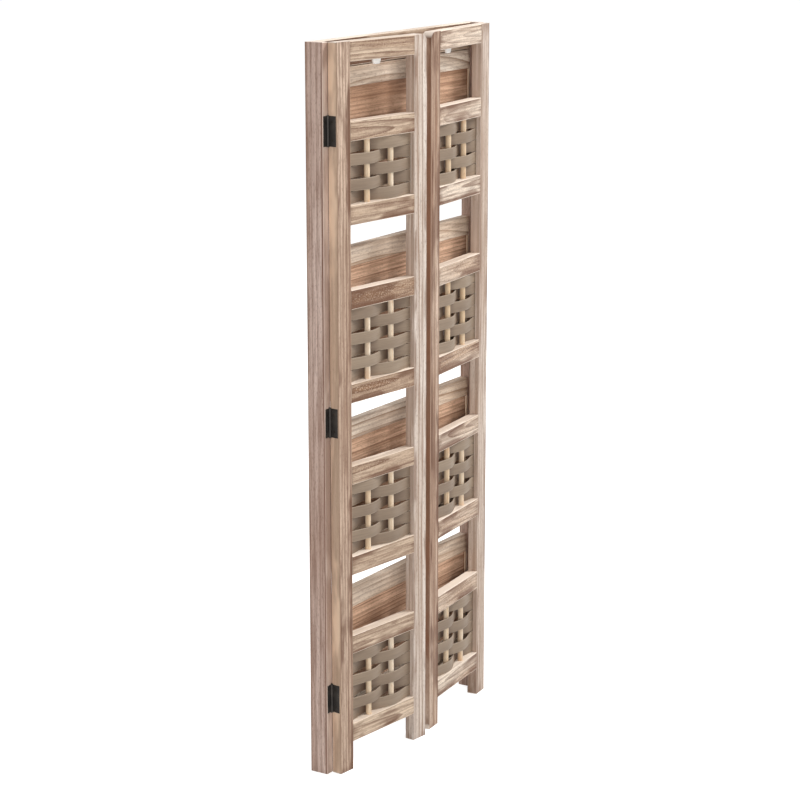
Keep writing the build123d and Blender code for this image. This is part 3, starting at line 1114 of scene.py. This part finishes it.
def box_axes(node: str, upright: bool, seed: float) -> BoardAxes:
    """Where a packed board that is square to the frame lies.

    Args:
        node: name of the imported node.
        upright: true for a post, false for a board that runs from side to side.
        seed: the board's seed.

    Returns:
        The board's axes.
    """
    low, high = (np.array(corner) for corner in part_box(node))
    centre = tuple((low + high) / 2.0)
    wide, deep, tall = (high - low) / 2.0
    if upright:
        return BoardAxes(centre, Z_AXIS, Y_AXIS, X_AXIS, (tall, deep, wide), seed)
    return BoardAxes(centre, X_AXIS, Z_AXIS, Y_AXIS, (wide, tall, deep), seed)


@dataclass
class Bench:
    """What every sub-assembly works with: the shared node groups and the source of seeds."""

    groups: GroupKit
    rng: np.random.Generator

    def seed(self) -> float:
        """Draw the seed of one board."""
        return float(self.rng.uniform(0.0, SEED_REACH))

    def dress(self, node: str, wood: TorchedWood, axes: BoardAxes) -> None:
        """Give a packed board a material of its own."""
        dress(node, wood.build(node, axes, self.groups))

    def dress_boxes(self, nodes: Sequence[str], wood: TorchedWood, upright: bool) -> None:
        """Give packed boards that are square to the frame their materials."""
        for node in nodes:
            self.dress(node, wood, box_axes(node, upright, self.seed()))


@dataclass
class Wing:
    """One wing: stiles and hinges as packed, with rails, dowels, strips and a pad worked out here."""

    bench: Bench
    side: Side
    hinge: Triple
    ajar: float
    height: float
    stock_thick: float = 0.019
    stock_wide: float = 0.034
    edge_gap: float = 0.0005
    meeting_gap: float = 0.020
    foot_height: float = 0.050
    rail_height: float = 0.033
    weave_height: float = 0.126
    bearer_depth: float = 0.004
    dowel_radius: float = 0.005
    dowel_spacing: float = 0.062
    dowel_socket: float = 0.007
    dowel_chamfer: float = 0.0006
    dowel_clear: float = 0.00003
    dowel_waver: float = 0.004
    dowel_waver_rate: float = 70.0
    dowel_sides: int = 28
    dowel_sections: int = 25
    strip_count: int = 6
    strip_thick: float = 0.0015
    strip_ease: float = 0.0005
    strip_gap: float = 0.0014
    strip_slack: float = 0.0016
    strip_tail: float = 0.005
    strip_cup: float = 0.00018
    strip_cup_reach: float = 0.003
    strip_lift: float = 0.00035
    strip_lift_rate: Pair = (14.0, 24.0)
    strip_lift_phase: Pair = (0.0, 6.0)
    strip_samples: int = 61
    strip_steps: int = 4
    pad_drop: float = 0.011
    pad_tall: float = 0.024
    pad_wide: float = 0.023
    pad_foot: float = 0.014
    pad_thick: float = 0.0048
    pad_ease: float = 0.0012
    pad_draw_in: float = 0.0008
    pad_clear: float = 0.0001
    pad_offset: float = 0.009
    pad_sections: int = 14
    pad_steps: int = 5
    pieces: list[bpy.types.Object] = field(default_factory=list)

    @property
    def body(self) -> str:
        """Name of the wing's moving body."""
        return self.label("wing")

    @property
    def along(self) -> np.ndarray:
        """Direction from the hinge to the free edge."""
        return np.array([-self.side.value * math.cos(self.ajar), -math.sin(self.ajar), 0.0])

    @property
    def back(self) -> np.ndarray:
        """Direction from the wing's front face to its rear face."""
        return np.array([-self.side.value * math.sin(self.ajar), math.cos(self.ajar), 0.0])

    @property
    def inner(self) -> Pair:
        """Distances of the two stiles' inner edges from the hinge axis."""
        free = abs(self.hinge[0]) - self.meeting_gap / 2.0
        return self.edge_gap + self.stock_wide, free - self.stock_wide

    @property
    def centre(self) -> float:
        """Distance of the middle between the stiles from the hinge axis."""
        return sum(self.inner) / 2.0

    @property
    def middle(self) -> float:
        """Depth of the wing's middle plane; the rear face lies at the hinge axis."""
        return -self.stock_thick / 2.0

    @property
    def strip_pitch(self) -> float:
        """Height of one row of the weave."""
        return self.weave_height / self.strip_count

    @property
    def lower_levels(self) -> list[float]:
        """Bottom of the rail under each woven square, from the floor up."""
        pitch = (self.height - self.foot_height) / LEVELS
        return [self.foot_height + pitch * number for number in range(LEVELS)]

    @property
    def weave_sizes(self) -> list[float]:
        """Height of each woven square, from the floor up; the top one has one strip less."""
        return [self.weave_height] * (LEVELS - 1) + [self.weave_height - self.strip_pitch]

    @property
    def upper_levels(self) -> list[float]:
        """Bottom of the rail over each woven square, from the floor up."""
        return [low + self.rail_height + tall for low, tall in zip(self.lower_levels, self.weave_sizes)]

    def label(self, name: str) -> str:
        """Name of one of the wing's nodes."""
        return f"{self.side.label}_{name}"

    def place(self, u: float | np.ndarray, v: float | np.ndarray, z: float | np.ndarray) -> np.ndarray:
        """Points from the distance along the wing, the depth towards the back and the height.

        Args:
            u: distance from the hinge axis.
            v: depth towards the back.
            z: height over the floor.

        Returns:
            Array with a last axis of three.
        """
        origin = np.array([self.hinge[0], self.hinge[1], 0.0])
        u, v, z = (np.asarray(distance)[..., None] for distance in (u, v, z))
        return origin + u * self.along + v * self.back + z * np.array(Z_AXIS)

    def keep(self, piece: bpy.types.Object, node: str, material: bpy.types.Material) -> None:
        """Dress a piece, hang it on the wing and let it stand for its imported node.

        Args:
            piece: the new piece.
            node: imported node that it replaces.
            material: its material.
        """
        piece.data.materials.append(material)
        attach(piece, self.body)
        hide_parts(node)
        self.pieces.append(piece)
        LOG.info("%s stands for %s with %d faces", piece.name, node, len(piece.data.polygons))

    def rail(self, base: float) -> Surface:
        """One rail between the stiles.

        Args:
            base: height of its lower edge.

        Returns:
            The rail's surface.
        """
        low, high = self.inner
        shape = BoardShape(high - low, self.rail_height, self.stock_thick)
        local = shape.local(self.bench.rng)
        along, across, through = np.moveaxis(local, -1, 0)
        middle = base + self.rail_height / 2.0
        points = self.place(self.centre + along, self.middle + through, middle + across)
        return Surface(points, local, shape.half, self.bench.seed())

    def rails(self, name: str, levels: Sequence[float]) -> None:
        """Build a set of rails as one piece.

        Args:
            name: last part of the node's name.
            levels: heights of their lower edges.
        """
        label = self.label(name)
        piece = mesh_piece(f"{label}_boards", [self.rail(base) for base in levels], smooth=False)
        wood = RAIL_WOODS[self.side].build(label, BoardMarks(), self.bench.groups)
        self.keep(piece, label, wood)

    def dowel(self, u: float, base: float, tall: float) -> Surface:
        """One dowel between two rails.

        It is a circle carried upwards. Its radius wavers by a few hundredths of a millimetre as a sine of the
        height, and its ends are chamfered inside their sockets.

        Args:
            u: distance of its axis from the hinge axis.
            base: height of the lower rail's top.
            tall: height of the woven square.

        Returns:
            The dowel's surface.
        """
        angle = np.linspace(0.0, FULL_TURN, self.dowel_sides + 1)[:-1]
        reach = tall / 2.0 + self.dowel_socket
        wall = reach - self.dowel_chamfer
        rise = np.concatenate([[-reach], np.linspace(-wall, wall, self.dowel_sections), [reach]])
        phase = self.bench.rng.uniform(0.0, FULL_TURN)
        waver = self.dowel_waver * (1.0 + np.sin(self.dowel_waver_rate * rise + phase))
        radius = (self.dowel_radius - self.dowel_clear) * (1.0 - waver)
        radius[[0, -1]] -= self.dowel_chamfer
        across = radius[:, None] * np.cos(angle)
        through = radius[:, None] * np.sin(angle)
        along = np.broadcast_to(rise[:, None], across.shape)
        points = self.place(u + across, self.middle + through, base + tall / 2.0 + along)
        half = (reach, self.dowel_radius, self.dowel_radius)
        return Surface(points, np.stack([along, across, through], axis=-1), half, self.bench.seed())

    def dowels(self) -> None:
        """Build the dowels, two in each woven square."""
        places = [
            (self.centre + sign * self.dowel_spacing / 2.0, base + self.rail_height, tall)
            for base, tall in zip(self.lower_levels, self.weave_sizes)
            for sign in (-1.0, 1.0)
        ]
        label = self.label("dowels")
        piece = mesh_piece(f"{label}_turned", [self.dowel(*spot) for spot in places], smooth=True)
        self.keep(piece, label, DOWEL_WOOD.build(label, BoardMarks(), self.bench.groups))

    def strip_path(self, first: float) -> tuple[np.ndarray, np.ndarray, np.ndarray]:
        """Path of one strip seen from above.

        It is a chain of cubic curves through the stile, one face of the first dowel, the middle, the other
        face of the second dowel and the far stile. The slope is nought at the stiles and the dowels, and in
        the middle it is that of the straightest cubic, one and a half times the mean.

        Args:
            first: 1 to pass behind the first dowel, -1 to pass in front of it.

        Returns:
            Distance along the wing, depth and slope at each sample.
        """
        low, high = self.inner
        inset = (high - low - self.dowel_spacing) / 2.0
        swing = first * (self.dowel_radius + self.strip_slack + self.strip_thick / 2.0)
        middle_slope = -1.5 * swing / (self.dowel_spacing / 2.0)
        ends = (low - self.strip_tail, high + self.strip_tail)
        knots = np.array([ends[0], low, low + inset, self.centre, high - inset, high, ends[1]])
        depth = np.array([0.0, 0.0, swing, 0.0, -swing, 0.0, 0.0])
        slope = np.array([0.0, 0.0, 0.0, middle_slope, 0.0, 0.0, 0.0])
        u = np.concatenate([[ends[0]], np.linspace(low, high, self.strip_samples), [ends[1]]])
        leg = np.clip(np.searchsorted(knots, u, side="right") - 1, 0, len(knots) - 2)
        span = knots[leg + 1] - knots[leg]
        t = (u - knots[leg]) / span
        rise0 = 2.0 * t**3 - 3.0 * t**2 + 1.0
        lean0 = t**3 - 2.0 * t**2 + t
        lean1 = t**3 - t**2
        v = rise0 * depth[leg] + (1.0 - rise0) * depth[leg + 1]
        v = v + span * (lean0 * slope[leg] + lean1 * slope[leg + 1])
        return u, v, np.gradient(v, u)

    def strip(self, base: float, first: float) -> Surface:
        """One woven strip: a thin rounded outline carried along its path, square to it.

        It is cupped a little where it bends, and its height wavers as a sine that dies out at the ends. The
        face turned to the dowel that the strip bends round is marked for painted shade, in proportion to how
        far the path is from the middle plane.

        Args:
            base: height of its lower edge.
            first: 1 to pass behind the first dowel, -1 to pass in front of it.

        Returns:
            The strip's surface.
        """
        rng = self.bench.rng
        u, v, slope = self.strip_path(first)
        gone, length = u - u[0], u[-1] - u[0]
        tall = self.strip_pitch - self.strip_gap
        ones = np.ones_like(u)
        sizes = (tall * ones, self.strip_thick * ones, self.strip_ease * ones)
        outline = rounded_rectangle(*sizes, self.strip_steps)
        rise, depth = outline[..., 0], outline[..., 1]
        bend = np.sign(v) * np.minimum(1.0, np.abs(v) / self.strip_cup_reach)
        through = depth + self.strip_cup * (1.0 - (2.0 * rise / tall) ** 2) * bend[:, None]
        lift = np.sin(gone * rng.uniform(*self.strip_lift_rate) + rng.uniform(*self.strip_lift_phase))
        lift = self.strip_lift * lift * np.sin(np.pi * gone / length)
        step = np.hypot(1.0, slope)
        points = self.place(
            u[:, None] - (slope / step)[:, None] * through,
            self.middle + v[:, None] + (1.0 / step)[:, None] * through,
            base + tall / 2.0 + lift[:, None] + rise,
        )
        along = np.broadcast_to((u - u.mean())[:, None], through.shape)
        half = (length / 2.0, tall / 2.0, self.strip_thick / 2.0)
        # painted shade: inner face of each bend, strongest where the path is farthest from the middle plane
        shelter = np.clip(-np.sign(depth) * v[:, None] / np.abs(v).max(), 0.0, 1.0)
        return Surface(points, np.stack([along, rise, depth], axis=-1), half, self.bench.seed(), shelter)

    def weave(self, number: int) -> None:
        """Build one woven square.

        Args:
            number: 1 for the top square, whose first strip passes behind the first dowel.
        """
        level = LEVELS - number
        tall = self.weave_sizes[level]
        top = self.lower_levels[level] + self.rail_height + tall
        start = 1.0 if number == 1 else -1.0
        surfaces = []
        for row in range(round(tall / self.strip_pitch)):
            base = top - (row + 1) * self.strip_pitch + self.strip_gap / 2.0
            surfaces.append(self.strip(base, start if row % 2 == 0 else -start))
        label = self.label(f"weave_{number}")
        piece = mesh_piece(f"{label}_strips", surfaces, smooth=True)
        self.keep(piece, label, STRIP_VENEER.build(label, self.bench.groups))

    def pad(self, material: bpy.types.Material) -> None:
        """Build the stop pad under the top rail.

        It is a rounded outline, wide and thin, carried downwards; below the rail its width narrows evenly.

        Args:
            material: the pad's material.
        """
        share = np.linspace(0.0, 1.0, self.pad_sections)
        under = 1.0 - self.pad_drop / self.pad_tall
        fall = np.clip((share - under) / (1.0 - under), 0.0, 1.0)
        width = self.pad_wide + (self.pad_foot - self.pad_wide) * fall
        draw_in = np.where((share == 0.0) | (share == 1.0), self.pad_draw_in, 0.0)
        ease = np.full_like(share, self.pad_ease)
        outline = rounded_rectangle(width - draw_in, self.pad_thick - draw_in, ease, self.pad_steps)
        across, through = outline[..., 0], outline[..., 1]
        top = self.height - self.rail_height - self.pad_drop + self.pad_tall
        height = np.broadcast_to((top - share * self.pad_tall)[:, None], across.shape)
        depth = self.pad_thick / 2.0 + self.pad_clear
        points = self.place(self.centre + self.pad_offset + across, depth + through, height)
        local = np.stack([height - top, across, through], axis=-1)
        half = (self.pad_tall / 2.0, self.pad_wide / 2.0, self.pad_thick / 2.0)
        label = self.label("pad")
        piece = mesh_piece(f"{label}_moulded", [Surface(points, local, half, 1.0)], smooth=True)
        self.keep(piece, label, material)

    def axes(self, u: float, v: float, upright: bool, half: Triple) -> BoardAxes:
        """Where a packed board of the wing lies, at half of the wing's height.

        Args:
            u: distance of its middle from the hinge axis.
            v: depth of its middle towards the back.
            upright: true for a stile, false for a board that runs along the wing.
            half: half sizes along, across and through the board.

        Returns:
            The board's axes.
        """
        centre = tuple(self.place(u, v, self.height / 2.0))
        level = tuple(self.along)
        along, across = (Z_AXIS, level) if upright else (level, Z_AXIS)
        return BoardAxes(centre, along, across, tuple(self.back), half, self.bench.seed())

    def dress_boards(self) -> None:
        """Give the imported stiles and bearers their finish."""
        low, high = self.inner
        reach = self.stock_wide / 2.0
        half = (self.height / 2.0, reach, self.stock_thick / 2.0)
        for name, u in (("hinge_stile", low - reach), ("free_stile", high + reach)):
            wood = STILE_WOODS[self.side, name == "hinge_stile"]
            self.bench.dress(self.label(name), wood, self.axes(u, self.middle, True, half))
        half = ((high - low) / 2.0, self.height, self.stock_thick)
        bearers = self.axes(self.centre, self.bearer_depth, False, half)
        self.bench.dress(self.label("bearers"), LEDGE_WOOD, bearers)

    def build(self, pad: bpy.types.Material) -> None:
        """Build and dress the whole wing.

        Args:
            pad: material of the pad.
        """
        self.dress_boards()
        self.rails("top_rail", [self.height - self.rail_height])
        self.rails("upper_rails", self.upper_levels)
        self.rails("lower_rails", self.lower_levels)
        self.dowels()
        for number in range(1, LEVELS + 1):
            self.weave(number)
        self.pad(pad)


@dataclass
class BackFrame:
    """Posts and rails behind the wings, as packed."""

    bench: Bench

    def build(self) -> None:
        """Give the posts and rails their finish."""
        self.bench.dress_boxes([f"{side.label}_post" for side in Side], POST_WOOD, True)
        rails = [f"back_rail_{number}" for number in range(1, LEVELS + 1)]
        self.bench.dress_boxes(["back_top_rail", *rails], RAIL_WOOD, False)


@dataclass
class Shelf:
    """One stowed shelf, as packed, counted from the top."""

    bench: Bench
    number: int
    end_wide: float = 0.006
    end_seed: float = 3.7

    def build(self) -> None:
        """Give the shelf's rails and board their finish."""
        name = f"shelf_{self.number}"
        self.bench.dress_boxes([f"{name}_front_rail", f"{name}_back_rail"], LEDGE_WOOD, False)
        self.bench.dress_boxes([f"{name}_board"], SHELF_WOOD, False)
        self.bench.dress(f"{name}_end_rails", END_RAIL_WOOD, self.end_axes(f"{name}_end_rails"))

    def end_axes(self, node: str) -> BoardAxes:
        """Axes of the two end rails as a pair, from the box round both.

        Args:
            node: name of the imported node.

        Returns:
            The pair's axes.
        """
        both = box_axes(node, True, self.end_seed * self.number + 1.0)
        tall, deep, reach = both.half
        return replace(both, half=(tall, deep, self.end_wide / 2.0), spread=reach - self.end_wide / 2.0)


@dataclass
class Ironwork:
    """Hinge leaves, pins and screws, as packed."""

    bench: Bench

    def build(self) -> None:
        """Give every leaf, pin and screw its finish."""
        sides = [side.label for side in Side]
        shelves = [f"shelf_{number}_leaves" for number in range(1, LEVELS + 1)]
        pins = ["shelf_hinge_pins", "wing_hinge_pins", "post_screws"]
        pins += [f"{side}_wing_screws" for side in sides]
        for metal, nodes in (
            (HINGE_BRONZE, ["post_leaves"] + [f"{side}_wing_leaves" for side in sides]),
            (PIN_BRONZE, pins),
            (SHELF_BRONZE, ["shelf_hinge_leaves"] + shelves),
        ):
            material = metal.build(self.bench.groups)
            for node in nodes:
                dress(node, material)


@dataclass(frozen=True)
class Lamp:
    """A square soft light that faces the object."""

    name: str
    power: float
    at: Triple
    size: float = 1.8
    aim: Triple = (0.0, 0.0, 0.6)

    def build(self) -> None:
        """Hang the light, turned so that it looks from its place to its aim."""
        data = bpy.data.lights.new(self.name, "AREA")
        data.energy = self.power
        data.size = self.size
        lamp = add_object(self.name, data)
        lamp.location = self.at
        away = np.array(self.at) - np.array(self.aim)
        level = math.hypot(away[0], away[1])
        lamp.rotation_euler = (math.atan2(level, away[2]), 0.0, math.atan2(away[0], -away[1]))


@dataclass
class Studio:
    """White floor and surround, soft light and the camera of the photo."""

    eye: Triple = (-3.400, -2.0842, 1.561)
    yaw: float = 58.23
    pitch: float = 13.40
    lens: float = 105.3
    sensor: float = 36.0
    sight: float = 200.0
    ambient: float = 0.42
    floor_reach: float = 60.0
    floor_colour: Colour = (0.55, 0.55, 0.55, 1.0)
    floor_roughness: float = 0.9
    floor_glow: float = 0.78
    lamps: tuple[Lamp, ...] = (
        Lamp("key_light", 225.0, (2.4, -2.6, 4.4)),
        Lamp("fill_light", 100.0, (-3.8, -3.2, 1.6)),
        Lamp("rear_light", 70.0, (1.6, 4.0, 3.0)),
    )

    def camera(self) -> None:
        """Place the camera by its eye point, its turn from +Y towards +X and its tilt below the level."""
        data = bpy.data.cameras.new("studio_camera")
        data.lens = self.lens
        data.sensor_width = self.sensor
        data.clip_end = self.sight
        camera = add_object("studio_camera", data)
        camera.location = self.eye
        camera.rotation_euler = (QUARTER_TURN - math.radians(self.pitch), 0.0, math.radians(-self.yaw))
        bpy.context.scene.camera = camera

    @staticmethod
    def seen_directly(sheet: NodeSheet) -> Flow:
        """Mask of the rays that show the surround itself: from the camera, a gloss or clear glass.

        Args:
            sheet: sheet of the material or of the world.

        Returns:
            The mask.
        """
        rays = sheet.node("ShaderNodeLightPath").outputs
        kinds = ("Camera", "Glossy", "Transmission")
        camera, gloss, glass = (Flow(sheet, rays[f"Is {kind} Ray"]) for kind in kinds)
        return camera.maths("MAXIMUM", gloss).maths("MAXIMUM", glass)

    def surround(self) -> None:
        """White where it is seen, and an even soft light where it lights the object."""
        world = bpy.data.worlds.new("studio_surround")
        world.use_nodes = True
        bpy.context.scene.world = world
        sheet = NodeSheet(world.node_tree)
        background = world.node_tree.nodes["Background"]
        background.inputs["Color"].default_value = WHITE
        sheet.feed(background.inputs["Strength"], self.seen_directly(sheet).between(self.ambient, 1.0))

    def floor(self) -> None:
        """Wide white floor that keeps a faint shadow: part of its white is its own where it is seen."""
        reach = self.floor_reach
        corners = [(-reach, -reach, 0.0), (reach, -reach, 0.0), (reach, reach, 0.0), (-reach, reach, 0.0)]
        mesh = bpy.data.meshes.new("studio_floor")
        mesh.from_pydata(corners, [], [(0, 1, 2, 3)])
        floor = add_object("studio_floor", mesh)
        sheet = MaterialSheet("floor_white")
        sheet.shade(Base_Color=self.floor_colour, Roughness=self.floor_roughness, Specular_IOR_Level=0.0)
        sheet.shade(Emission_Color=WHITE, Emission_Strength=self.seen_directly(sheet) * self.floor_glow)
        mesh.materials.append(sheet.material)

    def build(self) -> None:
        """Set up the whole studio."""
        bpy.context.scene.view_settings.view_transform = "Standard"
        self.camera()
        self.surround()
        self.floor()
        for lamp in self.lamps:
            lamp.build()


def wing_from_frame(bench: Bench, side: Side) -> Wing:
    """Read a wing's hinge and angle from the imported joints.

    Args:
        bench: what the wing works with.
        side: which wing.

    Returns:
        The wing, with the rest of its sizes at their own values.
    """
    joint = next(entry for entry in frame["joints"] if entry["name"] == f"{side.label}_wing_hinge")
    ajar = math.radians(-joint["range_deg"][0])
    return Wing(bench, side, tuple(joint["pos_m"]), ajar, float(cad_high[2]))


def main() -> None:
    """Build every sub-assembly in order and report each piece."""
    logging.basicConfig(level=logging.INFO, format="%(name)s: %(message)s")
    bench = Bench(GroupKit(), np.random.default_rng(SEED))
    pad = PAD_PLASTIC.build(bench.groups)
    BackFrame(bench).build()
    for number in range(1, LEVELS + 1):
        Shelf(bench, number).build()
    Ironwork(bench).build()
    for side in Side:
        wing = wing_from_frame(bench, side)
        wing.build(pad)
        LOG.info("%s has %d worked-out pieces", wing.body, len(wing.pieces))
    Studio().build()


if __name__ == "__main__":
    main()
